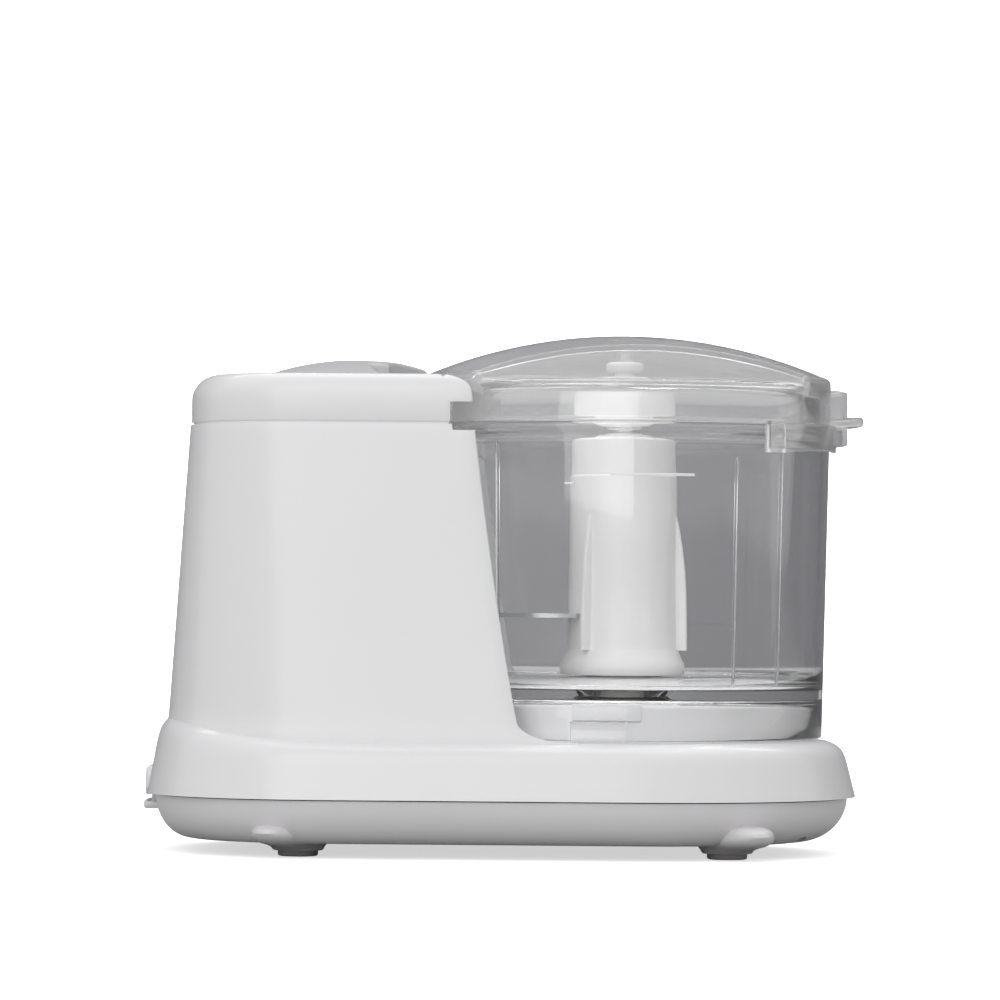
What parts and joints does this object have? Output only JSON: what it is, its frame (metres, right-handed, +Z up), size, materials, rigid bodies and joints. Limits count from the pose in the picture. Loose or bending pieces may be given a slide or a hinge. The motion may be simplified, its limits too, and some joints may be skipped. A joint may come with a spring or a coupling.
{
  "type": "food processor",
  "caption": "Small electric food chopper: a motor tower and a clear bowl with a domed locking lid stand on one long white base.",
  "frame": {"origin": "bottom centre of the whole object, on the surface that it stands on", "axes": "+Z up, +X from the motor tower to the bowl, +Y to the back of the object"},
  "size_m": [0.1998, 0.128, 0.1442],
  "materials": {
    "white_shell": "satin moulded white",
    "white_tub": "satin moulded white",
    "foot_rubber": "matte dark grey",
    "screw_steel": "zinc plated",
    "plated_steel": "plated sheet",
    "dark_nylon": "moulded black nylon",
    "brass": "drawn",
    "lamination_steel": "stacked laminations with windings",
    "copper": "turned",
    "ferrite": "sintered",
    "bronze": "sintered, oiled",
    "shaft_steel": "ground",
    "belt_rubber": "toothed, matte",
    "natural_nylon": "moulded natural nylon",
    "seal_rubber": "matte",
    "button_plastic": "satin pale grey",
    "spring_steel": "drawn wire",
    "switch_black": "moulded",
    "switch_red": "moulded",
    "board_green": "printed board",
    "clear_plastic": "clear, polished",
    "hub_white": "satin moulded white",
    "blade_steel": "ground stainless"
  },
  "bodies": {
    "base": {"upper_housing": "white_shell", "top_cover": "white_shell", "bottom_tub": "white_tub", "foot_front_left": "foot_rubber", "foot_front_right": "foot_rubber", "foot_rear_left": "foot_rubber", "foot_rear_right": "foot_rubber", "housing_screws": "screw_steel", "cord_gland": "white_tub", "motor_mount_plate": "plated_steel", "plate_screws": "screw_steel", "motor_can": "plated_steel", "motor_end_bell": "dark_nylon", "brush_holders": "brass", "motor_screws": "screw_steel", "magnets": "ferrite", "motor_bushes": "bronze", "drive_belt": "belt_rubber", "upper_bush": "bronze", "lower_bush": "bronze", "bearing_bracket": "white_tub", "bracket_screws": "screw_steel", "spindle_seal": "seal_rubber", "pulse_spring": "spring_steel", "switch_holder": "white_tub", "pulse_switch": "switch_black", "interlock_switch": "switch_black", "rectifier_board": "board_green", "holder_screws": "screw_steel", "bowl": "clear_plastic"},
    "lid_carrier": {"lid_pin": "clear_plastic"},
    "lid": {"lid": "clear_plastic"},
    "button": {"pulse_button": "button_plastic"},
    "switch_rod": {"switch_plunger": "switch_red"},
    "interlock_rod": {"interlock_plunger": "natural_nylon"},
    "rotor": {"armature": "lamination_steel", "commutator": "copper", "motor_shaft": "shaft_steel", "motor_fan": "dark_nylon", "motor_pulley": "dark_nylon"},
    "drive": {"driven_pulley": "natural_nylon", "spindle": "shaft_steel", "drive_coupler": "natural_nylon", "retaining_clip": "screw_steel"},
    "blade": {"blade_hub": "hub_white", "hub_cap": "hub_white", "lower_blade": "blade_steel", "upper_blade": "blade_steel"}
  },
  "joints": [
    {"name": "lid_lift", "type": "slide", "parent": "base", "child": "lid_carrier", "axis": [0, 0, 1], "range_m": [0, 0.07]},
    {"name": "lid_turn", "type": "hinge", "parent": "lid_carrier", "child": "lid", "pos_m": [0.033, 0, 0], "axis": [0, 0, 1], "range_deg": [0, 46]},
    {"name": "pulse_press", "type": "slide", "parent": "base", "child": "button", "axis": [0, 0, -1], "range_m": [0, 0.003], "stiffness_N_per_m": 400, "springref_m": -0.003, "deforming": ["pulse_spring"]},
    {"name": "switch_rod_press", "type": "slide", "parent": "base", "child": "switch_rod", "axis": [0, 0, -1], "range_m": [0, 0.003]},
    {"name": "interlock_slide", "type": "slide", "parent": "base", "child": "interlock_rod", "axis": [0.9703, 0.2419, 0], "range_m": [0, 0.0014]},
    {"name": "motor_spin", "type": "hinge", "parent": "base", "child": "rotor", "pos_m": [-0.058, 0, 0], "axis": [0, 0, 1], "continuous": true},
    {"name": "spindle_spin", "type": "hinge", "parent": "base", "child": "drive", "pos_m": [0.033, 0, 0], "axis": [0, 0, 1], "continuous": true},
    {"name": "blade_spin", "type": "hinge", "parent": "base", "child": "blade", "pos_m": [0.033, 0, 0], "axis": [0, 0, 1], "continuous": true}
  ],
  "couplings": [
    {"joint": "switch_rod_press", "follows": "pulse_press", "ratio": 1},
    {"joint": "interlock_slide", "follows": "lid_turn", "m_per_rad": 0.001731},
    {"joint": "spindle_spin", "follows": "motor_spin", "ratio": 0.33333},
    {"joint": "blade_spin", "follows": "motor_spin", "ratio": 0.33333}
  ]
}
